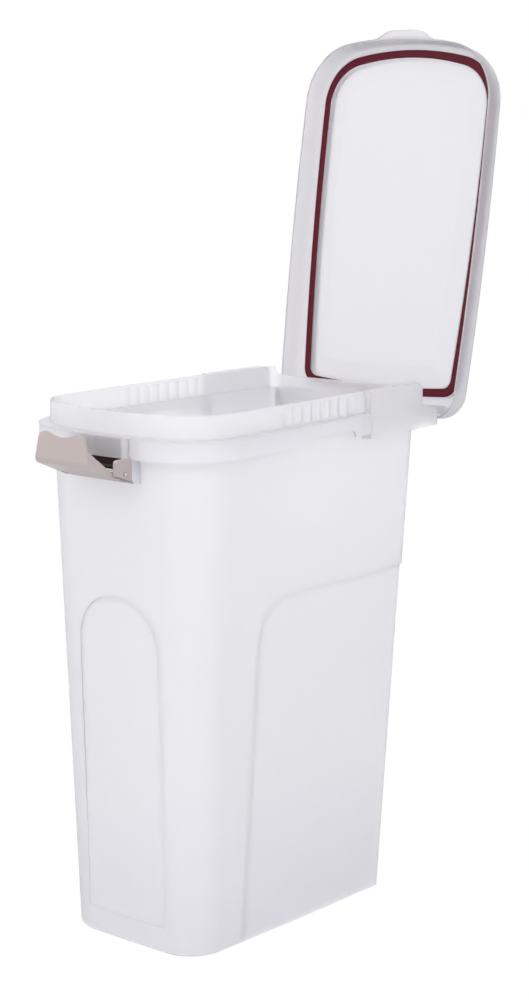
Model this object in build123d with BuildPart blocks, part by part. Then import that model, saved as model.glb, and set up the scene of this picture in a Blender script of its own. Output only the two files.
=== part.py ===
from build123d import *
import os
from math import cos, radians, sin

# Storage bin for dry pet food. A tall tapered tub has a raised rim with a skirted ledge round it.
# A lid with a seal ring is hinged between two ears at the rear, and a latch at the front turns on
# a steel rod and hooks over a tab on the lid. The lid and the latch stand open.
# +Z is up, +Y points to the hinge, -Y to the latch, and the floor is at Z = 0.

# Mouldings
wall = 2.2
floor_wall = 2.8
past = 60.0
rounding_steps = 3

# Rim of the mouth, seen from above
rim_front_width = 245.6
rim_rear_width = 224.7
rim_depth = 406.0
rim_front_bow = 20.3
rim_side_bow = 4.8
rim_rear_bow = 5.3
rim_front_radius = 55.7
rim_rear_radius = 17.2
rim_top_z = 600.0
rim_height = 24.5

# Foot of the tub, seen from above, and how far its ends are set in from those of the rim
foot_front_width = 197.4
foot_rear_width = 196.2
foot_front_inset = 23.1
foot_rear_inset = 49.6
foot_front_bow = 1.0
foot_side_bow = 2.1
foot_rear_bow = 2.2
foot_front_radius = 43.4
foot_rear_radius = 13.0
foot_edge_radius = 5.0

# Top of the tapered wall, set in from the rim
shoulder_front_inset = 3.4
shoulder_front_side_inset = 3.5
shoulder_rear_side_inset = 1.7
shoulder_rear_inset = 0.7

# Ledge round the rim and the skirt that hangs from it
skirt_reach = 12.0
skirt_height = 22.5
rear_ledge_reach = 5.0
rear_skirt_drop = 15.0

# Hand grip cut into the skirt on each long side
grip_behind_front = 168.3
grip_length = 91.6
grip_rise = 8.0
grip_corner_radius = 7.0

# Grooves for the fingers in the rim, over the hand grips
flute_count = 8
flute_pitch = 16.0
flute_lead = 13.3
flute_depth = 1.5
flute_radius = 17.0
flute_foot_gap = 1.5
flute_head_gap = 3.5

# Saddle in the rear wall of the rim
saddle_end_gap = 6.0
saddle_drop = 10.5
saddle_radius = 12.0

# Hinge towers beside the rim and the ears that run back from them
tower_reach = 8.0
tower_length = 102.8
tower_rear_gap = 11.2
tower_drop = 6.5
tower_corner_radius = 10.0
ear_reach = 22.7
ear_front_drop = 25.2
ear_rear_drop = 34.0
ear_corner_radius = 4.0
ear_rear_bow = 0.5
ear_width = 17.0

# Panels pressed into the wall of the tub. The arched one gets shallower towards the foot.
side_panel_depth = 2.2
side_panel_drop = 212.5
side_panel_low_gap = 82.0
side_panel_high_gap = 100.6
side_panel_radius = 45.0
arch_depth = 2.4
arch_width = 117.0
arch_drop = 204.0
arch_foot_z = 30.0
arch_foot_depth = 0.5

# Lid, in its closed place
lid_gap = 2.0
lid_reach = 14.4
lid_side_reach_front = 13.7
lid_side_reach_rear = 19.6
lid_rear_reach = 30.0
lid_draft = 2.6
lid_rear_radius = 33.0
lid_shoulder_radius = 8.0
lid_open_angle = 99.2
dish_slope_width = 24.0
dish_slope_drop = 3.6
dish_wall_height = 5.2

# Tab on the front of the lid that the latch hooks over
tab_width = 108.0
tab_reach = 9.5
tab_crown_width = 50.0
tab_crown_fall = 1.6
tab_thickness = 5.0
tab_drop = 21.0

# Seal ring in the lid
seal_width = 9.4
seal_height = 5.5
seal_gap = 0.3
seal_chamfer = 1.2
seal_rib = 1.6
seal_rib_height = 3.2

# Hinge between lid and tub
hinge_reach = 17.0
hinge_drop = 38.2
hinge_boss_radius = 5.4
hinge_pin_diameter = 6.0
hinge_pin_head = 9.0
hinge_pin_head_length = 1.5
hinge_running_gap = 0.25
hinge_side_gap = 0.6
lug_thickness = 6.0
lug_radius = 7.0
lug_arm_rear = 2.5
heel_reach = 17.0
heel_low = 13.0
heel_high = 2.0
heel_gap = 0.3
hinge_pin_reach = 12.0
stop_margin = 2.0

# Latch, in its open place. Its points are measured from the axis that it turns on.
latch_reach = 21.4
latch_drop = 60.5
latch_wall = 2.6
latch_top_ahead = 41.6
latch_top_rise = 43.2
latch_bend_ahead = 42.5
latch_bend_rise = 10.0
latch_bend_radius = 9.0
latch_lip_behind = 12.4
latch_lip_drop = 12.0
latch_lip_thickness = 3.2
latch_top_width = 66.0
latch_bend_width = 81.0
latch_waist_width = 91.0
latch_waist_drop = 1.0
latch_lip_width = 103.0
latch_corner_radius = 10.0
latch_side_height = 12.0
latch_side_edge = 3.5
latch_side_rise = 17.0
latch_side_end_ahead = 10.0
latch_dip = 4.3
latch_dip_width = 42.0
latch_swing = 51.0
cheek_outer = 51.0
cheek_thickness = 5.0
cheek_front = 12.5
cheek_rear = 10.2
cheek_rise = 15.5
cheek_radius = 4.0
latch_running_gap = 0.25
catch_width = 52.0
catch_thickness = 3.0
catch_gap = 0.6
catch_hold = 4.5

# Steel rod that the latch turns on, and the lugs that carry it
rod_diameter = 4.0
rod_lug_thickness = 4.5
rod_lug_radius = 6.5
rod_side_gap = 0.5
rod_end = 1.5
rod_lug_foot_drop = 15.5

# Leaf spring behind the skirt, and the thin window in front of it
spring_width = 62.0
spring_thickness = 1.0
spring_stand = 7.0
spring_low_rise = 1.5
spring_toe = 4.0
spring_rib_x = 20.0
spring_rib_rise = 2.5
window_inset = 0.3
window_depth = 1.1
window_rise = 18.5

# Places that follow from the sizes above, along Y
rim_front_y = -rim_depth / 2
rim_rear_y = rim_depth / 2
foot_front_y = rim_front_y + foot_front_inset
foot_rear_y = rim_rear_y - foot_rear_inset
grip_front_y = rim_front_y + grip_behind_front
grip_rear_y = grip_front_y + grip_length
flute_first_y = grip_front_y - flute_lead
tower_rear_y = rim_rear_y - tower_rear_gap
tower_front_y = tower_rear_y - tower_length
ear_rear_y = rim_rear_y + ear_reach
hinge_y = rim_rear_y + hinge_reach
lid_rear_y = rim_rear_y + lid_rear_reach
side_panel_low_y = foot_front_y + side_panel_low_gap
side_panel_high_y = foot_front_y + side_panel_high_gap
latch_y = rim_front_y - latch_reach
latch_top_y = latch_y - latch_top_ahead
latch_bend_y = latch_y - latch_bend_ahead
latch_lip_y = latch_y + latch_lip_behind
latch_side_end_y = latch_y - latch_side_end_ahead
spring_front_y = rim_front_y - spring_stand
spring_rear_y = spring_front_y + spring_thickness

# Places that follow from the sizes above, along Z
ledge_z = rim_top_z - rim_height
skirt_bottom_z = ledge_z - skirt_height
skirt_z = ledge_z - wall
grip_z = skirt_bottom_z + grip_rise
tower_bottom_z = skirt_bottom_z - tower_drop
ear_front_z = rim_top_z - ear_front_drop
ear_rear_z = rim_top_z - ear_rear_drop
side_panel_top_z = rim_top_z - side_panel_drop
arch_top_z = rim_top_z - arch_drop
seal_low_z = rim_top_z + seal_gap
lid_edge_z = ledge_z + lid_gap
lid_under_z = seal_low_z + seal_height
lid_top_z = lid_under_z + wall
tab_top_z = lid_top_z - tab_drop
hinge_z = rim_top_z - hinge_drop
latch_z = rim_top_z - latch_drop
latch_top_z = latch_z + latch_top_rise
latch_bend_z = latch_z + latch_bend_rise
latch_lip_z = latch_z - latch_lip_drop
latch_waist_z = latch_z - latch_waist_drop
cheek_top_z = latch_z + cheek_rise
rod_lug_foot_z = latch_z - rod_lug_foot_drop
spring_low_z = latch_z + spring_low_rise
spring_rib_z = skirt_bottom_z + spring_rib_rise
window_top_z = skirt_bottom_z + window_rise


class Outline:
    """A four-sided plan with bowed sides and rounded corners, the same on both sides of the YZ plane."""

    def __init__(self, widths, ends, bows, radii):
        self.front_width, self.rear_width = widths
        self.front_y, self.rear_y = ends
        self.front_bow, self.side_bow, self.rear_bow = bows
        self.front_radius, self.rear_radius = radii

    def grown(self, by, front=0.0, rear=0.0):
        """The plan moved outward by a distance, and further at its front and rear ends."""
        widths = (self.front_width + 2 * by, self.rear_width + 2 * by)
        ends = (self.front_y - by - front, self.rear_y + by + rear)
        bows = (self.front_bow, self.side_bow, self.rear_bow)
        radii = (max(self.front_radius + by, wall), max(self.rear_radius + by, wall))
        return Outline(widths, ends, bows, radii)

    def face(self, z):
        """The plan as a face at a height."""
        half_front = self.front_width / 2
        half_rear = self.rear_width / 2
        front_corner_y = self.front_y + self.front_bow
        rear_corner_y = self.rear_y - self.rear_bow
        side_x = (half_front + half_rear) / 2 + self.side_bow
        side_y = (front_corner_y + rear_corner_y) / 2
        with BuildSketch(Plane.XY.offset(z)) as plan:
            with BuildLine():
                ThreePointArc((-half_front, front_corner_y), (0, self.front_y), (half_front, front_corner_y))
                ThreePointArc((half_front, front_corner_y), (side_x, side_y), (half_rear, rear_corner_y))
                ThreePointArc((half_rear, rear_corner_y), (0, self.rear_y), (-half_rear, rear_corner_y))
                ThreePointArc((-half_rear, rear_corner_y), (-side_x, side_y), (-half_front, front_corner_y))
            make_face()
            fillet(vertices().sort_by(Axis.Y)[:2], self.front_radius)
            fillet(vertices().sort_by(Axis.Y)[-2:], self.rear_radius)
        return plan.sketch

    def half_width(self, y):
        """Half the width of the plan at a place between its corners."""
        front_corner_y = self.front_y + self.front_bow
        rear_corner_y = self.rear_y - self.rear_bow
        share = (y - front_corner_y) / (rear_corner_y - front_corner_y)
        straight = self.front_width / 2 + (self.rear_width - self.front_width) / 2 * share
        return straight + 4 * self.side_bow * share * (1 - share)


rim = Outline(
    (rim_front_width, rim_rear_width),
    (rim_front_y, rim_rear_y),
    (rim_front_bow, rim_side_bow, rim_rear_bow),
    (rim_front_radius, rim_rear_radius),
)
foot = Outline(
    (foot_front_width, foot_rear_width),
    (foot_front_y, foot_rear_y),
    (foot_front_bow, foot_side_bow, foot_rear_bow),
    (foot_front_radius, foot_rear_radius),
)
shoulder = Outline(
    (rim_front_width - 2 * shoulder_front_side_inset, rim_rear_width - 2 * shoulder_rear_side_inset),
    (rim_front_y + shoulder_front_inset, rim_rear_y - shoulder_rear_inset),
    (rim_front_bow, rim_side_bow, rim_rear_bow),
    (rim_front_radius - shoulder_front_inset, rim_rear_radius - shoulder_rear_side_inset),
)
tower_taper = (rim_front_width - rim_rear_width) / rim_depth
towers = Outline(
    (
        rim_front_width + 2 * tower_reach,
        rim_rear_width + 2 * tower_reach - tower_taper * (ear_rear_y - rim_rear_y),
    ),
    (rim_front_y, ear_rear_y),
    (rim_front_bow, rim_side_bow, ear_rear_bow),
    (rim_front_radius, ear_corner_radius),
)
lid_edge = Outline(
    (rim_front_width + 2 * lid_side_reach_front, rim_rear_width + 2 * lid_side_reach_rear),
    (rim_front_y - lid_reach, lid_rear_y),
    (rim_front_bow, rim_side_bow, rim_rear_bow),
    (rim_front_radius + lid_reach, lid_rear_radius),
)

# Places that follow from the outlines
arch_deeper = (arch_depth - arch_foot_depth) * ledge_z / arch_top_z
ear_inner_x = towers.rear_width / 2 - ear_width
lug_outer_x = ear_inner_x - hinge_side_gap
lug_inner_x = lug_outer_x - lug_thickness
stop_y = hinge_y - heel_reach
rod_lug_outer_x = cheek_outer - cheek_thickness - rod_side_gap
rod_lug_inner_x = rod_lug_outer_x - rod_lug_thickness
seal_inner = -(wall + seal_width) / 2
seal_outer = seal_inner + seal_width


def prism(outline, low_z, high_z, mode=Mode.ADD):
    """A straight prism of a plan between two heights, in the part in hand."""
    extrude(outline.face(low_z), amount=high_z - low_z, mode=mode)


def rounded(outline, edge_z, far_z, radius, draft=0.0):
    """Faces of a form from its rounded edge to its far end, where each side leans by a draft."""
    rise = 1 if far_z > edge_z else -1
    faces = []
    for step in range(rounding_steps + 1):
        turn = radians(90 * step / rounding_steps)
        up = radius * (1 - sin(turn))
        lean = draft * (1 - up / abs(far_z - edge_z))
        faces.append(outline.grown(-lean - radius * (1 - cos(turn))).face(edge_z + rise * up))
    return faces[::-1] + [outline.face(far_z)]


def tub_form(inset, deeper=0.0, mode=Mode.ADD):
    """The tapered form of the tub, set in from its outer surface, and deeper still at its top."""
    loft(
        [foot.grown(-inset).face(0), shoulder.grown(-inset - deeper).face(ledge_z)],
        ruled=True,
        mode=mode,
    )


def tub_body(inset, foot_z, radius):
    """The tapered form of the tub over a height, with the edge round its foot rounded."""
    share = (foot_z + radius) / ledge_z
    low = Outline(
        (
            foot.front_width + (shoulder.front_width - foot.front_width) * share,
            foot.rear_width + (shoulder.rear_width - foot.rear_width) * share,
        ),
        (
            foot.front_y + (shoulder.front_y - foot.front_y) * share,
            foot.rear_y + (shoulder.rear_y - foot.rear_y) * share,
        ),
        (
            foot.front_bow + (shoulder.front_bow - foot.front_bow) * share,
            foot.side_bow + (shoulder.side_bow - foot.side_bow) * share,
            foot.rear_bow + (shoulder.rear_bow - foot.rear_bow) * share,
        ),
        (
            foot.front_radius + (shoulder.front_radius - foot.front_radius) * share,
            foot.rear_radius + (shoulder.rear_radius - foot.rear_radius) * share,
        ),
    )
    faces = []
    for step in range(rounding_steps + 1):
        turn = radians(90 * step / rounding_steps)
        in_by = radius * (1 - sin(turn))
        faces.append(low.grown(-inset - in_by).face(foot_z + radius * (1 - cos(turn))))
    loft(faces + [shoulder.grown(-inset).face(ledge_z)], ruled=True)


def side_panel_zone(grow):
    """The space of the panels pressed into the two long sides and the rear."""
    high_z = side_panel_top_z + grow
    lean = (side_panel_high_y - side_panel_low_y) / side_panel_top_z
    with BuildSketch(Plane.YZ) as profile:
        with BuildLine():
            Polyline(
                (side_panel_low_y - grow - lean * past, -past),
                (side_panel_low_y - grow + lean * high_z, high_z),
                (rim_rear_y + past, high_z),
                (rim_rear_y + past, -past),
                close=True,
            )
        make_face()
        fillet(vertices().sort_by(Axis.X)[1], side_panel_radius + grow)
    extrude(profile.sketch, amount=rim_front_width, both=True)


def arch_zone(grow):
    """The space of the arched panel pressed into the front."""
    half = arch_width / 2 + grow
    spring_z = arch_top_z - arch_width / 2
    with BuildSketch(Plane.XZ) as profile:
        with BuildLine():
            Polyline((-half, spring_z), (-half, arch_foot_z), (half, arch_foot_z), (half, spring_z))
            ThreePointArc((half, spring_z), (0, spring_z + half), (-half, spring_z))
        make_face()
    extrude(profile.sketch, amount=rim_depth)


# Space that the pressed panels take off the outside of the tub
with BuildPart() as side_panels:
    side_panel_zone(0)
    tub_form(side_panel_depth, mode=Mode.SUBTRACT)

with BuildPart() as arch_panel:
    arch_zone(0)
    tub_form(arch_foot_depth, arch_deeper, Mode.SUBTRACT)

# Material that the same panels add inside the tub, so that its wall stays even
with BuildPart() as side_panel_backs:
    side_panel_zone(wall)
    tub_form(side_panel_depth + wall, mode=Mode.SUBTRACT)

with BuildPart() as arch_back:
    arch_zone(wall)
    tub_form(arch_foot_depth + wall, arch_deeper, Mode.SUBTRACT)

# Finger grooves in the two long sides of the rim, and the swellings that back them inside
flute_places = []
for flute in range(flute_count):
    flute_y = flute_first_y + flute * flute_pitch
    flute_x = rim.half_width(flute_y) - flute_depth + flute_radius
    flute_places += [(flute_x, flute_y), (-flute_x, flute_y)]
flute_low_z = ledge_z + flute_foot_gap
flute_high_z = rim_top_z - flute_head_gap

with BuildPart() as flutes:
    with BuildSketch(Plane.XY.offset(flute_low_z)):
        with Locations(flute_places):
            Circle(flute_radius)
    extrude(amount=flute_high_z - flute_low_z)

with BuildPart() as flute_backs:
    with BuildSketch(Plane.XY.offset(ledge_z)):
        with Locations(flute_places):
            Circle(flute_radius + wall)
    extrude(amount=flute_high_z - ledge_z)

# Space inside the tub
with BuildPart() as cavity:
    tub_body(wall, floor_wall, foot_edge_radius - wall)
    add(side_panel_backs.part, mode=Mode.SUBTRACT)
    add(arch_back.part, mode=Mode.SUBTRACT)
    prism(rim.grown(-wall), ledge_z, rim_top_z + past)
    add(flute_backs.part, mode=Mode.SUBTRACT)

# Ledge and skirt in front of the hinge towers
with BuildPart() as collar:
    prism(rim.grown(skirt_reach), skirt_bottom_z, ledge_z)
    with BuildSketch(Plane.YZ) as grips:
        with BuildLine():
            Polyline(
                (grip_front_y, skirt_bottom_z - past),
                (grip_front_y, grip_z),
                (grip_rear_y, grip_z),
                (grip_rear_y, skirt_bottom_z - past),
                close=True,
            )
        make_face()
        fillet(vertices().group_by(Axis.Y)[-1], grip_corner_radius)
    extrude(grips.sketch, amount=rim_front_width, both=True, mode=Mode.SUBTRACT)
    split(bisect_by=Plane.XZ.offset(-tower_front_y), keep=Keep.TOP)

with BuildPart() as skirt_space:
    prism(rim.grown(skirt_reach - wall), skirt_bottom_z - past, skirt_z)
    split(bisect_by=Plane.XZ.offset(wall - tower_front_y), keep=Keep.TOP)


def tower_zone(inset, mode=Mode.ADD):
    """The side view of the towers and ears, set in from its edges by a distance, across the tub."""
    with BuildSketch(Plane.YZ) as profile:
        with BuildLine():
            Polyline(
                (tower_front_y + inset, tower_bottom_z - inset * past),
                (tower_front_y + inset, rim_top_z - inset),
                (tower_rear_y - inset, rim_top_z - inset),
                (tower_rear_y - inset, ear_front_z - inset),
                (ear_rear_y - inset, ear_rear_z - inset),
                (ear_rear_y - inset, tower_bottom_z - inset * past),
                close=True,
            )
        make_face()
        fillet(vertices().group_by(Axis.Y)[-1].sort_by(Axis.X)[-1], tower_corner_radius - inset)
    extrude(profile.sketch, amount=rim_front_width, both=True, mode=mode)


# Towers beside the rear of the rim, with the ears of the hinge behind them
with BuildPart() as tower_blocks:
    prism(towers, tower_bottom_z, rim_top_z)
    tower_zone(0, Mode.INTERSECT)
    with BuildSketch(Plane.XY.offset(tower_bottom_z)):
        Rectangle(2 * ear_inner_x, 2 * (ear_rear_y + past))
    extrude(amount=rim_top_z - tower_bottom_z, mode=Mode.SUBTRACT)

with BuildPart() as tower_spaces:
    prism(towers.grown(-wall), tower_bottom_z - past, rim_top_z)
    tower_zone(wall, Mode.INTERSECT)
    with BuildSketch(Plane.XY.offset(tower_bottom_z - past)):
        Rectangle(2 * (ear_inner_x + wall), 2 * (ear_rear_y + past))
    extrude(amount=rim_top_z - tower_bottom_z + past, mode=Mode.SUBTRACT)

with BuildPart() as skirt_window:
    prism(rim.grown(skirt_reach - wall + window_depth), skirt_bottom_z - past, window_top_z)
    with BuildSketch(Plane.XZ):
        with Locations((0, window_top_z)):
            Rectangle(spring_width - 2 * window_inset, 2 * rim_top_z)
    extrude(amount=rim_depth, mode=Mode.INTERSECT)

# Short ledge between the ears, at the rear
with BuildPart() as rear_ledge:
    prism(rim.grown(rear_ledge_reach), ledge_z - rear_skirt_drop, ledge_z)
    prism(rim.grown(rear_ledge_reach - wall), ledge_z - rear_skirt_drop, skirt_z, Mode.SUBTRACT)
    with BuildSketch(Plane.XZ.offset(-tower_rear_y)):
        with Locations((0, ledge_z)):
            Rectangle(2 * lug_inner_x - stop_margin, 2 * rear_skirt_drop)
    extrude(amount=-rim_depth, mode=Mode.INTERSECT)

# Bosses for the hinge pins in the ears, and the blocks that the heels of the lid rest on
with BuildPart() as hinge_seats:
    with BuildSketch(Plane.YZ.offset(ear_inner_x)):
        with Locations((hinge_y, hinge_z)):
            Circle(hinge_boss_radius)
    extrude(amount=ear_width - ear_corner_radius)
    with BuildSketch(Plane.YZ.offset(lug_inner_x - stop_margin)) as stop_block:
        with BuildLine():
            Polyline(
                (tower_rear_y, hinge_z - heel_low),
                (stop_y - heel_gap, hinge_z - heel_low),
                (stop_y - heel_gap, ledge_z),
                (tower_rear_y, ledge_z),
                close=True,
            )
        make_face()
    extrude(stop_block.sketch, amount=ear_inner_x + wall - lug_inner_x + stop_margin)
    mirror(about=Plane.YZ)

with BuildPart() as hinge_bores:
    with BuildSketch(Plane.YZ.offset(ear_inner_x - hinge_side_gap)):
        with Locations((hinge_y, hinge_z)):
            Circle(hinge_pin_diameter / 2 + hinge_running_gap)
    extrude(amount=ear_width - ear_corner_radius + hinge_side_gap)
    mirror(about=Plane.YZ)

# Lugs that carry the rod of the latch
rod_lug_root_y = rim_front_y + skirt_reach
rod_lug_skirt_y = rim_front_y - skirt_reach + wall
with BuildPart() as rod_lugs:
    with BuildSketch(Plane.YZ.offset(rod_lug_inner_x)):
        with BuildLine():
            Polyline(
                (rod_lug_root_y, skirt_z),
                (rod_lug_skirt_y, skirt_z),
                (rod_lug_skirt_y, skirt_bottom_z),
                (latch_y, latch_z + rod_lug_radius),
                (latch_y, latch_z - rod_lug_radius),
                (rod_lug_root_y, rod_lug_foot_z),
                close=True,
            )
        make_face()
        with Locations((latch_y, latch_z)):
            Circle(rod_lug_radius)
            Circle(rod_diameter / 2, mode=Mode.SUBTRACT)
    extrude(amount=rod_lug_thickness)
    mirror(about=Plane.YZ)

# Ribs behind the skirt that hold the spring
with BuildPart() as spring_ribs:
    with BuildSketch(Plane.YZ.offset(spring_rib_x - wall / 2)):
        with BuildLine():
            Polyline(
                (rod_lug_root_y, skirt_z),
                (rod_lug_skirt_y, skirt_z),
                (rod_lug_skirt_y, spring_rib_z),
                (rod_lug_root_y, spring_rib_z),
                close=True,
            )
        make_face()
        with Locations(((spring_front_y + spring_rear_y) / 2, skirt_z)):
            Rectangle(spring_thickness, 2 * rim_top_z, mode=Mode.SUBTRACT)
    extrude(amount=wall)
    mirror(about=Plane.YZ)

# Low place in the rear wall of the rim
saddle_end_x = rim_rear_width / 2 - saddle_end_gap
with BuildPart() as saddle:
    with BuildSketch(Plane.XZ.offset(-tower_front_y)):
        with BuildLine():
            Polyline(
                (-saddle_end_x, rim_top_z + past),
                (-saddle_end_x, rim_top_z - saddle_drop),
                (saddle_end_x, rim_top_z - saddle_drop),
                (saddle_end_x, rim_top_z + past),
                close=True,
            )
        make_face()
        fillet(vertices().group_by(Axis.Y)[0], saddle_radius)
    extrude(amount=-rim_depth)

# Tub
with BuildPart() as tub:
    tub_body(0, 0, foot_edge_radius)
    add(side_panels.part, mode=Mode.SUBTRACT)
    add(arch_panel.part, mode=Mode.SUBTRACT)
    prism(rim, skirt_z, rim_top_z)
    add(collar.part - skirt_space.part - skirt_window.part)
    add(tower_blocks.part - tower_spaces.part)
    add(rear_ledge.part)
    add(hinge_seats.part)
    add(rod_lugs.part)
    add(spring_ribs.part)
    add(flutes.part, mode=Mode.SUBTRACT)
    add(hinge_bores.part, mode=Mode.SUBTRACT)
    add(cavity.part, mode=Mode.SUBTRACT)
    add(saddle.part, mode=Mode.SUBTRACT)
tub.part.label = "tub"

# Rod of the latch, held in the lugs of the tub
with BuildPart() as latch_rod:
    with BuildSketch(Plane.YZ):
        with Locations((latch_y, latch_z)):
            Circle(rod_diameter / 2)
    extrude(amount=cheek_outer + rod_end, both=True)
    chamfer(edges().filter_by(GeomType.CIRCLE), rod_end / 3)
latch_rod.part.label = "latch_rod"

# Leaf spring behind the skirt
spring_mid_y = (spring_front_y + spring_rear_y) / 2
with BuildPart() as latch_spring:
    with BuildSketch(Plane.YZ):
        with BuildLine():
            blade = Line((spring_mid_y, skirt_z), (spring_mid_y, spring_low_z + spring_toe))
            TangentArc(blade @ 1, (spring_mid_y - spring_toe, spring_low_z), tangent=blade % 1)
        trace(line_width=spring_thickness)
    extrude(amount=spring_width / 2, both=True)
latch_spring.part.label = "latch_spring"


def lid_form(inset):
    """The outer form of the closed lid, set in by a distance, with its edge open below."""
    faces = rounded(
        lid_edge.grown(-inset), lid_top_z - inset, lid_edge_z, lid_shoulder_radius - inset, lid_draft
    )
    loft(faces, ruled=True)


def dish_form(inset, high_z):
    """The dish in the top of the closed lid, set in and raised by a distance."""
    edge = rim.grown(seal_inner - inset)
    edge_z = lid_under_z - dish_wall_height + inset
    prism(edge, edge_z, high_z)
    loft([edge.grown(-dish_slope_width).face(edge_z - dish_slope_drop), edge.face(edge_z)], ruled=True)


with BuildPart() as lid_shape:
    lid_form(0)

with BuildPart() as lid_space:
    lid_form(wall)

with BuildPart() as dish_shape:
    dish_form(0, lid_under_z)

with BuildPart() as dish_space:
    dish_form(wall, lid_top_z + past)

# Rib that holds the outside of the seal ring
with BuildPart() as seal_wall:
    prism(rim.grown(seal_outer + seal_rib), lid_under_z - seal_rib_height, lid_under_z)
    prism(rim.grown(seal_outer), lid_under_z - seal_rib_height, lid_under_z, Mode.SUBTRACT)


def closed_place(y, z):
    """Where a point of the open lid is when the lid is closed."""
    turn = radians(lid_open_angle)
    ahead = y - hinge_y
    above = z - hinge_z
    return (
        hinge_y + ahead * cos(turn) - above * sin(turn),
        hinge_z + ahead * sin(turn) + above * cos(turn),
    )


# Lugs of the hinge under the rear of the lid, with heels that stop it when it is open
with BuildPart() as lid_lugs:
    with BuildSketch(Plane.YZ.offset(lug_inner_x)):
        with BuildLine():
            Polyline(
                (hinge_y - lug_radius, hinge_z),
                (hinge_y - lug_radius, lid_top_z - wall / 2),
                (hinge_y + lug_arm_rear, lid_top_z - wall / 2),
                (hinge_y + lug_arm_rear, hinge_z),
                close=True,
            )
        make_face()
    extrude(amount=lug_thickness)
    split(bisect_by=Plane.XY.offset(lid_edge_z), keep=Keep.TOP)
    add(lid_shape.part, mode=Mode.INTERSECT)
    with BuildSketch(Plane.YZ.offset(lug_inner_x)):
        with BuildLine():
            Polyline(
                (hinge_y - lug_radius, hinge_z),
                (hinge_y - lug_radius, lid_edge_z),
                (hinge_y + lug_arm_rear, lid_edge_z),
                (hinge_y + lug_arm_rear, hinge_z),
                close=True,
            )
        make_face()
        with BuildLine():
            Polyline(
                closed_place(stop_y, hinge_z - heel_high),
                closed_place(stop_y, hinge_z - heel_low),
                closed_place(hinge_y, hinge_z - lug_radius),
                closed_place(hinge_y, hinge_z),
                close=True,
            )
        make_face()
        with Locations((hinge_y, hinge_z)):
            Circle(lug_radius)
    extrude(amount=lug_thickness)
    with BuildSketch(Plane.YZ.offset(lug_inner_x)):
        with Locations((hinge_y, hinge_z)):
            Circle(hinge_pin_diameter / 2)
    extrude(amount=lug_thickness, mode=Mode.SUBTRACT)
    mirror(about=Plane.YZ)

# Tab that the latch hooks over, a low hill in plan
tab_foot_y = rim_front_y - lid_reach + lid_draft
tab_tip_y = rim_front_y - lid_reach - tab_reach
with BuildPart() as tab:
    with BuildSketch(Plane.XY.offset(tab_top_z - tab_thickness)):
        with BuildLine():
            Spline(
                (-tab_width / 2, tab_foot_y),
                (-tab_crown_width / 2, tab_tip_y + tab_crown_fall),
                (0, tab_tip_y),
                (tab_crown_width / 2, tab_tip_y + tab_crown_fall),
                (tab_width / 2, tab_foot_y),
                tangents=[(1, 0), (1, 0)],
            )
            Polyline(
                (tab_width / 2, tab_foot_y),
                (tab_width / 2, rim_front_y),
                (-tab_width / 2, rim_front_y),
                (-tab_width / 2, tab_foot_y),
            )
        make_face()
    extrude(amount=tab_thickness)

# Lid, made closed and then turned open on its hinge
with BuildPart() as lid:
    add(lid_shape.part)
    add(tab.part)
    add(lid_space.part, mode=Mode.SUBTRACT)
    add(dish_shape.part)
    add(dish_space.part, mode=Mode.SUBTRACT)
    add(seal_wall.part)
    add(lid_lugs.part)
hinge_axis = Axis((0, hinge_y, hinge_z), (1, 0, 0))
lid.part = lid.part.rotate(hinge_axis, -lid_open_angle)
lid.part.label = "lid"

# Seal ring in the lid, over the rim of the tub
with BuildPart() as lid_gasket:
    prism(rim.grown(seal_outer), seal_low_z, lid_under_z)
    prism(rim.grown(seal_inner), seal_low_z, lid_under_z, Mode.SUBTRACT)
    chamfer(edges().group_by(Axis.Z)[0], seal_chamfer)
lid_gasket.part = lid_gasket.part.rotate(hinge_axis, -lid_open_angle)
lid_gasket.part.label = "lid_gasket"

# Hinge pins, pressed into the lugs of the lid and free in the ears
with BuildPart() as hinge_pin_right:
    with BuildSketch(Plane.YZ.offset(lug_inner_x)):
        with Locations((hinge_y, hinge_z)):
            Circle(hinge_pin_head / 2)
    extrude(amount=-hinge_pin_head_length)
    with BuildSketch(Plane.YZ.offset(lug_inner_x)):
        with Locations((hinge_y, hinge_z)):
            Circle(hinge_pin_diameter / 2)
    extrude(amount=ear_inner_x + hinge_pin_reach - lug_inner_x)
    chamfer(edges().group_by(Axis.X)[-1], hinge_running_gap * 2)
hinge_pin_right.part.label = "hinge_pin_right"
with BuildPart() as hinge_pin_left:
    add(hinge_pin_right.part.mirror(Plane.YZ))
hinge_pin_left.part.label = "hinge_pin_left"

# Directions along the two legs of the latch, seen from the side
upper_leg = (Vector(latch_top_y, latch_top_z) - Vector(latch_bend_y, latch_bend_z)).normalized()
lower_leg = (Vector(latch_lip_y, latch_lip_z) - Vector(latch_bend_y, latch_bend_z)).normalized()
latch_top = Vector(latch_top_y, latch_top_z)
latch_bend = Vector(latch_bend_y, latch_bend_z)
latch_lip = Vector(latch_lip_y, latch_lip_z)


def latch_side(inset, mode=Mode.ADD):
    """The space on the hollow side of the latch, set in from its outer surface, across its width."""
    high = latch_top + upper_leg * past
    low = latch_lip + lower_leg * past
    with BuildSketch(Plane.YZ) as profile:
        with BuildLine():
            Polyline(
                (high.X, high.Y),
                (latch_bend.X, latch_bend.Y),
                (low.X, low.Y),
                (low.X, high.Y),
                close=True,
            )
        make_face()
        fillet(vertices().sort_by_distance((latch_bend.X, latch_bend.Y))[0], latch_bend_radius)
        if inset > 0:
            offset(amount=-inset, mode=Mode.REPLACE)
    extrude(profile.sketch, amount=latch_lip_width, both=True, mode=mode)


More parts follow.
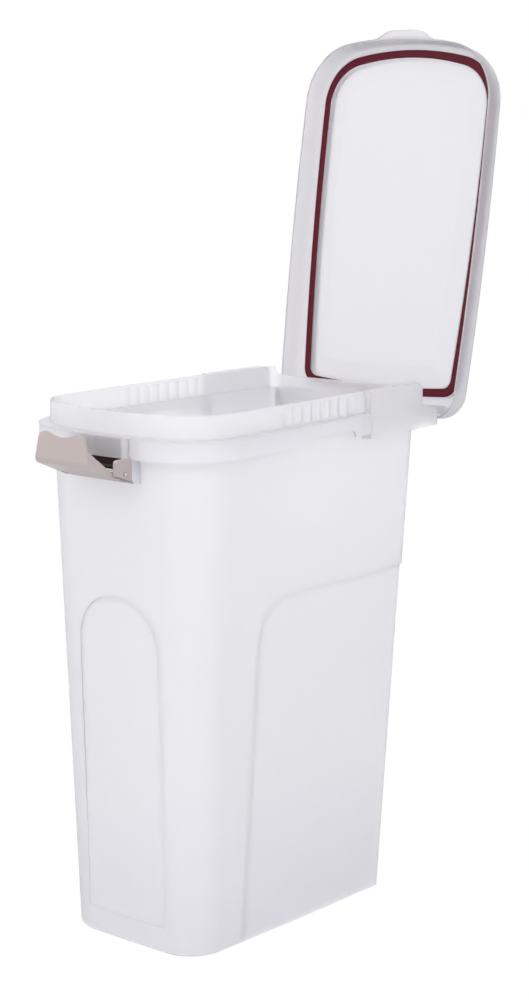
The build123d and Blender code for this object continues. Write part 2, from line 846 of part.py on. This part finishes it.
def latch_front(inset, rise, mode=Mode.ADD):
    """The front view of the latch, set in at its sides and carried up past its top."""
    lean = (latch_bend_width - latch_top_width) / 2 / (latch_top_z - latch_bend_z)
    top_half = latch_top_width / 2 - inset - lean * rise
    bend_half = latch_bend_width / 2 - inset
    waist_half = latch_waist_width / 2 - inset
    lip_half = latch_lip_width / 2 - inset
    with BuildSketch(Plane.XZ) as profile:
        with BuildLine():
            Line((top_half, latch_top_z + rise), (bend_half, latch_bend_z))
            ThreePointArc((bend_half, latch_bend_z), (waist_half, latch_waist_z), (lip_half, latch_lip_z))
            Polyline(
                (lip_half, latch_lip_z),
                (lip_half, latch_lip_z - past),
                (-lip_half, latch_lip_z - past),
                (-lip_half, latch_lip_z),
            )
            ThreePointArc((-lip_half, latch_lip_z), (-waist_half, latch_waist_z), (-bend_half, latch_bend_z))
            Line((-bend_half, latch_bend_z), (-top_half, latch_top_z + rise))
            Line((-top_half, latch_top_z + rise), (top_half, latch_top_z + rise))
        make_face()
        if rise == 0:
            fillet(vertices().group_by(Axis.Y)[-1], latch_corner_radius)
    extrude(profile.sketch, amount=past - latch_bend_y, mode=mode)


def rest_place(y, z):
    """Where a point of the closed latch is when the latch is open."""
    turn = radians(latch_swing)
    ahead = y - latch_y
    above = z - latch_z
    return (
        latch_y + ahead * cos(turn) - above * sin(turn),
        latch_z + ahead * sin(turn) + above * cos(turn),
    )


with BuildPart() as latch_space:
    latch_side(latch_wall)
    latch_front(latch_wall, past, Mode.INTERSECT)

# Space over the side walls of the latch, which run down from its face to its floor
lip_slope = lower_leg.Y / lower_leg.X
latch_floor = latch_lip_thickness / lower_leg.X
side_end_z = latch_bend_z + lip_slope * (latch_side_end_y - latch_bend_y) + latch_floor
with BuildPart() as latch_trim:
    with BuildSketch(Plane.YZ) as profile:
        with BuildLine():
            Polyline(
                (latch_top_y + latch_side_edge, latch_top_z + past),
                (latch_bend_y + latch_side_edge, latch_bend_z + latch_side_rise),
                (latch_side_end_y, side_end_z),
                (latch_lip_y, latch_lip_z + latch_floor),
                (latch_lip_y, latch_top_z + past),
                close=True,
            )
        make_face()
    extrude(profile.sketch, amount=latch_lip_width, both=True)

# Cheeks that turn on the rod, and the catch that hooks over the tab of the lid
catch_low_z = tab_top_z + catch_gap
catch_y = tab_tip_y + catch_hold
with BuildPart() as latch_works:
    with BuildSketch(Plane.YZ.offset(cheek_outer - cheek_thickness)):
        with BuildLine():
            Polyline(
                (latch_y - cheek_front, latch_lip_z),
                (latch_y - cheek_front, cheek_top_z),
                (latch_y + cheek_rear, cheek_top_z),
                (latch_y + cheek_rear, latch_lip_z),
                close=True,
            )
        make_face()
        fillet(vertices().group_by(Axis.Y)[-1], cheek_radius)
    extrude(amount=cheek_thickness)
    mirror(about=Plane.YZ)
    with BuildSketch(Plane.YZ):
        with BuildLine():
            Polyline(
                rest_place(catch_y - catch_thickness / 2, catch_low_z),
                rest_place(catch_y + catch_thickness / 2, catch_low_z),
                rest_place(catch_y + catch_thickness / 2, catch_low_z + past / 2),
                rest_place(catch_y - catch_thickness / 2, catch_low_z + past / 2),
                close=True,
            )
        make_face()
    extrude(amount=catch_width / 2, both=True)
    latch_side(latch_wall / 2, Mode.INTERSECT)

# Room round the lugs of the rod, and the bores of the cheeks
with BuildPart() as latch_clearance:
    with BuildSketch(Plane.YZ.offset(rod_lug_inner_x - rod_side_gap)):
        with Locations((latch_y, latch_z)):
            Circle(rod_lug_radius + rod_side_gap)
        with BuildLine():
            Polyline(
                (latch_y, latch_z + past),
                (latch_y, latch_z - rod_lug_radius - rod_side_gap),
                (latch_y + past, latch_lip_z - past),
                (latch_y + past, latch_z + past),
                close=True,
            )
        make_face()
    extrude(amount=rod_lug_thickness + 2 * rod_side_gap)
    with BuildSketch(Plane.YZ.offset(cheek_outer - cheek_thickness)):
        with Locations((latch_y, latch_z)):
            Circle(rod_diameter / 2 + latch_running_gap)
    extrude(amount=cheek_thickness)
    mirror(about=Plane.YZ)

# Latch
with BuildPart() as latch:
    latch_side(0)
    latch_side(latch_side_height, Mode.SUBTRACT)
    latch_front(0, 0, Mode.INTERSECT)
    split(bisect_by=Plane.XZ.offset(-latch_lip_y), keep=Keep.TOP)
    add(latch_space.part, mode=Mode.SUBTRACT)
    add(latch_trim.part, mode=Mode.SUBTRACT)
    with BuildSketch(Plane.XZ):
        with BuildLine():
            Line((-latch_dip_width / 2, latch_top_z), (latch_dip_width / 2, latch_top_z))
            ThreePointArc(
                (latch_dip_width / 2, latch_top_z),
                (0, latch_top_z - latch_dip),
                (-latch_dip_width / 2, latch_top_z),
            )
        make_face()
    extrude(amount=past - latch_bend_y, mode=Mode.SUBTRACT)
    add(latch_works.part)
    add(latch_clearance.part, mode=Mode.SUBTRACT)
latch.part.label = "latch"

os.makedirs("parts", exist_ok=True)
export_step(tub.part, "parts/tub.step")
export_step(lid.part, "parts/lid.step")
export_step(lid_gasket.part, "parts/lid_gasket.step")
export_step(hinge_pin_left.part, "parts/hinge_pin_left.step")
export_step(hinge_pin_right.part, "parts/hinge_pin_right.step")
export_step(latch.part, "parts/latch.step")
export_step(latch_rod.part, "parts/latch_rod.step")
export_step(latch_spring.part, "parts/latch_spring.step")
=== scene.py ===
import math
import bpy
from mathutils import Matrix, Vector

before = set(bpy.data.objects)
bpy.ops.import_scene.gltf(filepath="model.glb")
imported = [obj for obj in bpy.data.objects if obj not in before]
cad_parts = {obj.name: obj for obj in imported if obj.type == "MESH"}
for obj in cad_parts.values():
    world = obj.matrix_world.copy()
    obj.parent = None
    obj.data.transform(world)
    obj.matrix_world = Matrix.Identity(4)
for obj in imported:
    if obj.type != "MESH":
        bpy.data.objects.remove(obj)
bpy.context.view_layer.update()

# Camera, in metres and degrees
camera_place = (1.72126, -1.90923, 0.94794)
camera_down_deg = 10.440
camera_turn_deg = 41.243
camera_roll_deg = -0.284
camera_lens_mm = 83.06
sensor_mm = 36.0
view_depth = 50.0

# Edges of the tub's pressed panels, in metres
arch_half_width = 0.0585
arch_spring_z = 0.3375
arch_foot_z = 0.030
arch_reach_y = -0.13
side_edge_y = -0.0979
side_edge_lean = 0.048
side_edge_z = 0.3875
side_edge_radius = 0.045
side_foot_z = 0.004
shoulder_depth = 0.0010
shoulder_width = 0.009
# Height over which the painted shade at the tub's foot fades out, in metres
foot_shade_reach = 0.18

# Colours, in sRGB shares
frosted_white = (0.984, 0.982, 0.991)
# Painted shade: the lid is the tub's white plastic, coloured darker to offset the stronger lamp light on its
# panel
lid_white_with_painted_shade = (0.93, 0.926, 0.94)
# Painted shade: the tub's white made darker at the foot, where less light reaches
painted_foot_shade = (0.964, 0.962, 0.978)
frosted_depth = (0.70, 0.69, 0.75)
pin_white = (0.95, 0.948, 0.965)
burgundy = (0.33, 0.06, 0.13)
taupe = (0.655, 0.61, 0.605)
steel_grey = (0.80, 0.80, 0.81)
spring_brown = (0.26, 0.22, 0.20)

# How much the plastic in a wall takes from light that passes through it
tub_density = 16.0
lid_density = 30.0

# Waves in a metre of a moulded surface, about
wave_size = 22.0

# Floor and room
floor_half_size = 20.0
floor_grey = 0.8
floor_keep = 0.95
floor_glow = 1.02
room_colour = (0.98, 0.98, 1.0, 1)
room_level = 1.0

# Lamps: place and target in metres, side of the square in metres, power in watts
lamp_colour = (1.0, 0.995, 0.985)
lamps = {
    "key": ((0.4, -2.9, 2.3), (0, 0, 0.5), 1.2, 28.0),
    "fill": ((2.8, -0.4, 1.8), (0, 0, 0.5), 1.2, 20.0),
    "top": ((-0.6, -0.9, 3.2), (0, 0, 0.6), 1.6, 18.0),
    "side": ((-2.9, -1.2, 1.7), (0, 0.1, 0.6), 1.6, 14.0),
}


def linear(colour):
    """A colour written in sRGB shares, as the linear values that a shader takes."""
    shares = (c / 12.92 if c <= 0.04045 else ((c + 0.055) / 1.055) ** 2.4 for c in colour)
    return (*shares, 1.0)


# Nodes that the groups and materials share

def socket(tree, name, kind, default=None, way="INPUT"):
    """A named socket on a shader group."""
    made = tree.interface.new_socket(name=name, in_out=way, socket_type=kind)
    if default is not None:
        made.default_value = default


def feed(tree, target, source):
    """Gives an input a number, or links the output that feeds it."""
    if isinstance(source, (int, float)):
        target.default_value = source
    else:
        tree.links.new(source, target)


def calc(tree, operation, *terms):
    """The output of a math node whose terms are numbers or outputs."""
    node = tree.nodes.new("ShaderNodeMath")
    node.operation = operation
    for target, term in zip(node.inputs, terms):
        feed(tree, target, term)
    return node.outputs[0]


def hypotenuse(tree, a, b):
    """The length of a right triangle's long side, from its two short ones."""
    return calc(tree, "SQRT", calc(tree, "ADD", calc(tree, "MULTIPLY", a, a), calc(tree, "MULTIPLY", b, b)))


def object_place(tree):
    """Object coordinates, in metres."""
    return tree.nodes.new("ShaderNodeTexCoord").outputs["Object"]


def object_axes(tree):
    """Object coordinates as X, Y and Z."""
    axes = tree.nodes.new("ShaderNodeSeparateXYZ")
    tree.links.new(object_place(tree), axes.inputs[0])
    return axes.outputs


def noise(tree, place, scale, detail):
    """The value of a noise texture."""
    node = tree.nodes.new("ShaderNodeTexNoise")
    node.inputs["Detail"].default_value = detail
    tree.links.new(place, node.inputs["Vector"])
    feed(tree, node.inputs["Scale"], scale)
    return node.outputs["Fac"]


def smooth_ramp(tree, value, width):
    """A smooth rise from 0 to 1 while a value goes from 0 to a width."""
    ramp = tree.nodes.new("ShaderNodeMapRange")
    ramp.interpolation_type = "SMOOTHSTEP"
    tree.links.new(value, ramp.inputs["Value"])
    tree.links.new(width, ramp.inputs["From Max"])
    return ramp.outputs["Result"]


def seen_plainly(tree):
    """1 for camera, glossy and transmission rays, and 0 for all others."""
    ray = tree.nodes.new("ShaderNodeLightPath").outputs
    direct = calc(tree, "MAXIMUM", ray["Is Camera Ray"], ray["Is Glossy Ray"])
    return calc(tree, "MAXIMUM", direct, ray["Is Transmission Ray"])


# Shader groups

def moulded_surface_group():
    """Fine grain, slow waviness and faint clouding of a moulded surface."""
    tree = bpy.data.node_groups.new("moulded_surface", "ShaderNodeTree")
    socket(tree, "Colour", "NodeSocketColor", (0.8, 0.8, 0.8, 1))
    socket(tree, "Clouding", "NodeSocketFloat", 0.03)
    socket(tree, "Cloud Size", "NodeSocketFloat", 6.0)
    socket(tree, "Grain Size", "NodeSocketFloat", 900.0)
    socket(tree, "Grain Depth", "NodeSocketFloat", 0.05)
    socket(tree, "Waviness", "NodeSocketFloat", 0.1)
    socket(tree, "Roughness", "NodeSocketFloat", 0.4)
    socket(tree, "Roughness Spread", "NodeSocketFloat", 0.08)
    socket(tree, "Colour", "NodeSocketColor", way="OUTPUT")
    socket(tree, "Roughness", "NodeSocketFloat", way="OUTPUT")
    socket(tree, "Height", "NodeSocketFloat", way="OUTPUT")
    values = tree.nodes.new("NodeGroupInput").outputs
    result = tree.nodes.new("NodeGroupOutput").inputs
    place = object_place(tree)

    cloud = noise(tree, place, values["Cloud Size"], detail=3.0)
    centred = calc(tree, "SUBTRACT", cloud, 0.5)
    tinted = tree.nodes.new("ShaderNodeVectorMath")
    tinted.operation = "SCALE"
    tree.links.new(values["Colour"], tinted.inputs[0])
    tree.links.new(calc(tree, "MULTIPLY_ADD", centred, values["Clouding"], 1.0), tinted.inputs["Scale"])
    tree.links.new(tinted.outputs["Vector"], result["Colour"])

    grain = noise(tree, place, values["Grain Size"], detail=2.0)
    wave = noise(tree, place, wave_size, detail=1.0)
    grain_part = calc(tree, "MULTIPLY", grain, values["Grain Depth"])
    tree.links.new(calc(tree, "MULTIPLY_ADD", wave, values["Waviness"], grain_part), result["Height"])
    rough = calc(tree, "MULTIPLY_ADD", centred, values["Roughness Spread"], values["Roughness"])
    tree.links.new(rough, result["Roughness"])
    return tree


def drawn_lines_group():
    """Fine lines along X, as a drawn rod or a rolled strip has."""
    tree = bpy.data.node_groups.new("drawn_lines", "ShaderNodeTree")
    socket(tree, "Stretch", "NodeSocketVector", (3.0, 900.0, 900.0))
    socket(tree, "Depth", "NodeSocketFloat", 0.3)
    socket(tree, "Roughness", "NodeSocketFloat", 0.25)
    socket(tree, "Roughness Spread", "NodeSocketFloat", 0.15)
    socket(tree, "Roughness", "NodeSocketFloat", way="OUTPUT")
    socket(tree, "Height", "NodeSocketFloat", way="OUTPUT")
    values = tree.nodes.new("NodeGroupInput").outputs
    result = tree.nodes.new("NodeGroupOutput").inputs
    pulled = tree.nodes.new("ShaderNodeVectorMath")
    pulled.operation = "MULTIPLY"
    tree.links.new(object_place(tree), pulled.inputs[0])
    tree.links.new(values["Stretch"], pulled.inputs[1])
    lines = noise(tree, pulled.outputs["Vector"], 1.0, detail=3.0)
    tree.links.new(calc(tree, "MULTIPLY", lines, values["Depth"]), result["Height"])
    rough = calc(tree, "MULTIPLY_ADD", lines, values["Roughness Spread"], values["Roughness"])
    tree.links.new(rough, result["Roughness"])
    return tree


def pressed_panels_group():
    """Soft shoulders inside the edges of the tub's pressed panels, as a height in metres."""
    tree = bpy.data.node_groups.new("pressed_panels", "ShaderNodeTree")
    socket(tree, "Depth", "NodeSocketFloat", shoulder_depth)
    socket(tree, "Width", "NodeSocketFloat", shoulder_width)
    socket(tree, "Height", "NodeSocketFloat", way="OUTPUT")
    values = tree.nodes.new("NodeGroupInput").outputs
    result = tree.nodes.new("NodeGroupOutput").inputs
    x, y, z = object_axes(tree)

    def less(a, b):
        return calc(tree, "SUBTRACT", a, b)

    def at_least_zero(a):
        return calc(tree, "MAXIMUM", a, 0.0)

    # How far a place is inside the arched panel at the front
    over_spring = at_least_zero(less(z, arch_spring_z))
    in_arch = less(arch_half_width, hypotenuse(tree, x, over_spring))
    in_arch = calc(tree, "MINIMUM", in_arch, less(z, arch_foot_z))
    in_arch = calc(tree, "MINIMUM", in_arch, less(arch_reach_y, y))

    # How far it is inside the panel that runs round the sides and the rear
    behind_edge = less(y, calc(tree, "MULTIPLY_ADD", z, side_edge_lean, side_edge_y))
    under_edge = less(side_edge_z, z)
    in_side = less(side_edge_radius, hypotenuse(
        tree,
        at_least_zero(less(side_edge_radius, behind_edge)),
        at_least_zero(less(side_edge_radius, under_edge))))
    in_side = calc(tree, "MINIMUM", in_side, less(z, side_foot_z))

    ramp = smooth_ramp(tree, calc(tree, "MAXIMUM", in_arch, in_side), values["Width"])
    down = calc(tree, "MULTIPLY", values["Depth"], -1.0)
    tree.links.new(calc(tree, "MULTIPLY", ramp, down), result["Height"])
    return tree


def painted_foot_shade_group():
    """Painted shade: a darker colour towards the foot, standing in for the lower light there."""
    tree = bpy.data.node_groups.new("painted_shade_at_foot", "ShaderNodeTree")
    socket(tree, "Colour", "NodeSocketColor", (0.8, 0.8, 0.8, 1))
    socket(tree, "Foot Colour", "NodeSocketColor", linear(painted_foot_shade))
    socket(tree, "Reach", "NodeSocketFloat", foot_shade_reach)
    socket(tree, "Colour", "NodeSocketColor", way="OUTPUT")
    values = tree.nodes.new("NodeGroupInput").outputs
    result = tree.nodes.new("NodeGroupOutput").inputs
    mix = tree.nodes.new("ShaderNodeMixRGB")
    tree.links.new(smooth_ramp(tree, object_axes(tree)["Z"], values["Reach"]), mix.inputs["Fac"])
    tree.links.new(values["Foot Colour"], mix.inputs["Color1"])
    tree.links.new(values["Colour"], mix.inputs["Color2"])
    tree.links.new(mix.outputs["Color"], result["Colour"])
    return tree


moulded_surface = moulded_surface_group()
drawn_lines = drawn_lines_group()
pressed_panels = pressed_panels_group()
painted_shade_at_foot = painted_foot_shade_group()


# Finishes

def placed_group(tree, group):
    """A shader group placed in a material."""
    node = tree.nodes.new("ShaderNodeGroup")
    node.node_tree = group
    return node


def bumped(tree, height, strength, distance):
    """A bump node that takes its height from an output."""
    node = tree.nodes.new("ShaderNodeBump")
    node.inputs["Strength"].default_value = strength
    node.inputs["Distance"].default_value = distance
    tree.links.new(height, node.inputs["Height"])
    return node


def finish_of(name, group, settings, strength, distance, **plain):
    """A finish whose colour, roughness and relief come from a shader group."""
    material = bpy.data.materials.new(name)
    material.use_nodes = True
    tree = material.node_tree
    surface = tree.nodes["Principled BSDF"].inputs
    pattern = placed_group(tree, group)
    pattern.name = "pattern"
    for key, value in settings.items():
        pattern.inputs[key].default_value = value
    if "Colour" in pattern.outputs:
        tree.links.new(pattern.outputs["Colour"], surface["Base Color"])
    tree.links.new(pattern.outputs["Roughness"], surface["Roughness"])
    relief = bumped(tree, pattern.outputs["Height"], strength, distance)
    relief.name = "relief"
    tree.links.new(relief.outputs["Normal"], surface["Normal"])
    for key, value in plain.items():
        surface[key.replace("_", " ")].default_value = value
    return material


def frosted_finish(name, colour, cloud_size, density, let_through):
    """Frosted plastic that lets light through and deepens it a little on the way."""
    material = finish_of(
        name, moulded_surface,
        {"Colour": linear(colour), "Clouding": 0.02, "Cloud Size": cloud_size, "Grain Size": 1400.0,
         "Grain Depth": 0.2, "Waviness": 0.5, "Roughness": 0.37, "Roughness Spread": 0.06},
        strength=0.12, distance=0.0004, Transmission_Weight=let_through, IOR=1.3)
    tree = material.node_tree
    depth = tree.nodes.new("ShaderNodeVolumeAbsorption")
    depth.inputs["Color"].default_value = linear(frosted_depth)
    depth.inputs["Density"].default_value = density
    tree.links.new(depth.outputs["Volume"], tree.nodes["Material Output"].inputs["Volume"])
    return material


def add_panel_shoulders(material):
    """Puts the soft shoulders of the pressed panels under the relief of a finish."""
    tree = material.node_tree
    shoulders = placed_group(tree, pressed_panels)
    soft_step = bumped(tree, shoulders.outputs["Height"], strength=1.0, distance=1.0)
    tree.links.new(soft_step.outputs["Normal"], tree.nodes["relief"].inputs["Normal"])


def add_painted_foot_shade(material):
    """Paints shade into the colour of a finish, darker towards the foot."""
    tree = material.node_tree
    toned = placed_group(tree, painted_shade_at_foot)
    tree.links.new(tree.nodes["pattern"].outputs["Colour"], toned.inputs["Colour"])
    tree.links.new(toned.outputs["Colour"], tree.nodes["Principled BSDF"].inputs["Base Color"])


tub_plastic = frosted_finish("frosted_tub_plastic", frosted_white, 5.0, tub_density, let_through=0.72)
add_panel_shoulders(tub_plastic)
# Painted shade: the tub's colour darkens towards the foot
add_painted_foot_shade(tub_plastic)
# Painted shade: the lid's colour is darker than the tub's to offset the lamps
lid_plastic = frosted_finish("frosted_lid_plastic", lid_white_with_painted_shade, 7.0, lid_density, let_through=0.8)
seal_rubber = finish_of(
    "burgundy_seal_rubber", moulded_surface,
    {"Colour": linear(burgundy), "Clouding": 0.25, "Cloud Size": 60.0, "Grain Size": 2500.0,
     "Grain Depth": 0.5, "Waviness": 0.2, "Roughness": 0.5, "Roughness Spread": 0.15},
    strength=0.25, distance=0.0003, Specular_IOR_Level=0.15)
latch_plastic = finish_of(
    "taupe_latch_plastic", moulded_surface,
    {"Colour": linear(taupe), "Clouding": 0.06, "Cloud Size": 25.0, "Grain Size": 2500.0,
     "Grain Depth": 0.6, "Waviness": 0.2, "Roughness": 0.38, "Roughness Spread": 0.12},
    strength=0.2, distance=0.0003)
pin_plastic = finish_of(
    "white_pin_plastic", moulded_surface,
    {"Colour": linear(pin_white), "Clouding": 0.05, "Cloud Size": 60.0, "Grain Size": 2500.0,
     "Grain Depth": 0.4, "Waviness": 0.2, "Roughness": 0.35, "Roughness Spread": 0.1},
    strength=0.2, distance=0.0003)
rod_steel = finish_of(
    "drawn_rod_steel", drawn_lines,
    {"Stretch": (4.0, 2500.0, 2500.0), "Depth": 0.4, "Roughness": 0.16},
    strength=0.2, distance=0.0001, Base_Color=linear(steel_grey), Metallic=1.0)
spring_steel = finish_of(
    "dark_spring_steel", drawn_lines,
    {"Stretch": (6.0, 500.0, 500.0), "Depth": 0.4, "Roughness": 0.3},
    strength=0.2, distance=0.0002, Base_Color=linear(spring_brown), Metallic=1.0)

for node, material in {
    "tub": tub_plastic,
    "lid": lid_plastic,
    "lid_gasket": seal_rubber,
    "latch": latch_plastic,
    "latch_rod": rod_steel,
    "latch_spring": spring_steel,
    "hinge_pin_left": pin_plastic,
    "hinge_pin_right": pin_plastic,
}.items():
    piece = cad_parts[node]
    piece.data.materials.clear()
    piece.data.materials.append(material)


# Floor, room, lamps and camera

def link_to_scene(made):
    """Puts a new object in the scene."""
    bpy.context.scene.collection.objects.link(made)


def floor_white():
    """White that shows as the plain background, and keeps part of the shadow on it."""
    material = bpy.data.materials.new("floor_white")
    material.use_nodes = True
    tree = material.node_tree
    tree.nodes.clear()
    result = tree.nodes.new("ShaderNodeOutputMaterial")
    plain = tree.nodes.new("ShaderNodeBsdfDiffuse")
    plain.inputs["Color"].default_value = (floor_grey, floor_grey, floor_grey, 1)
    glow = tree.nodes.new("ShaderNodeEmission")
    glow.inputs["Strength"].default_value = floor_glow
    mix = tree.nodes.new("ShaderNodeMixShader")
    tree.links.new(calc(tree, "MULTIPLY", seen_plainly(tree), floor_keep), mix.inputs["Fac"])
    tree.links.new(plain.outputs[0], mix.inputs[1])
    tree.links.new(glow.outputs[0], mix.inputs[2])
    tree.links.new(mix.outputs[0], result.inputs["Surface"])
    return material


def add_floor():
    """A wide floor that isn't part of the object."""
    corners = [(x * floor_half_size, y * floor_half_size, 0) for x, y in ((-1, -1), (1, -1), (1, 1), (-1, 1))]
    mesh = bpy.data.meshes.new("floor")
    mesh.from_pydata(corners, [], [(0, 1, 2, 3)])
    mesh.materials.append(floor_white())
    floor = bpy.data.objects.new("floor", mesh)
    link_to_scene(floor)


def add_room():
    """A world that is plain white where it is seen and lights the object evenly."""
    world = bpy.data.worlds.new("studio")
    bpy.context.scene.world = world
    world.use_nodes = True
    tree = world.node_tree
    tree.nodes.clear()
    result = tree.nodes.new("ShaderNodeOutputWorld")
    seen_white = tree.nodes.new("ShaderNodeBackground")
    seen_white.inputs["Color"].default_value = (1, 1, 1, 1)
    lit_white = tree.nodes.new("ShaderNodeBackground")
    lit_white.inputs["Color"].default_value = room_colour
    lit_white.inputs["Strength"].default_value = room_level
    mix = tree.nodes.new("ShaderNodeMixShader")
    tree.links.new(seen_plainly(tree), mix.inputs["Fac"])
    tree.links.new(lit_white.outputs[0], mix.inputs[1])
    tree.links.new(seen_white.outputs[0], mix.inputs[2])
    tree.links.new(mix.outputs[0], result.inputs["Surface"])


def add_lamp(name, place, target, side, watts):
    """A soft square lamp that faces a point."""
    data = bpy.data.lights.new(name, "AREA")
    data.shape = "RECTANGLE"
    data.size = side
    data.size_y = side
    data.energy = watts
    data.color = lamp_colour
    made = bpy.data.objects.new(name, data)
    link_to_scene(made)
    made.location = place
    made.rotation_euler = (Vector(target) - Vector(place)).to_track_quat("-Z", "Y").to_euler()


def add_camera():
    """The view of the photo."""
    data = bpy.data.cameras.new("photo_view")
    data.sensor_fit = "AUTO"
    data.sensor_width = sensor_mm
    data.lens = camera_lens_mm
    data.clip_end = view_depth
    camera = bpy.data.objects.new("photo_view", data)
    link_to_scene(camera)
    turned = Matrix.Rotation(math.radians(camera_turn_deg), 4, "Z")
    tipped = Matrix.Rotation(math.radians(90 - camera_down_deg), 4, "X")
    rolled = Matrix.Rotation(math.radians(camera_roll_deg), 4, "Z")
    camera.matrix_world = Matrix.Translation(camera_place) @ turned @ tipped @ rolled
    bpy.context.scene.camera = camera


add_floor()
add_room()
for name, values in lamps.items():
    add_lamp(name, *values)
add_camera()
bpy.context.scene.view_settings.view_transform = "Standard"
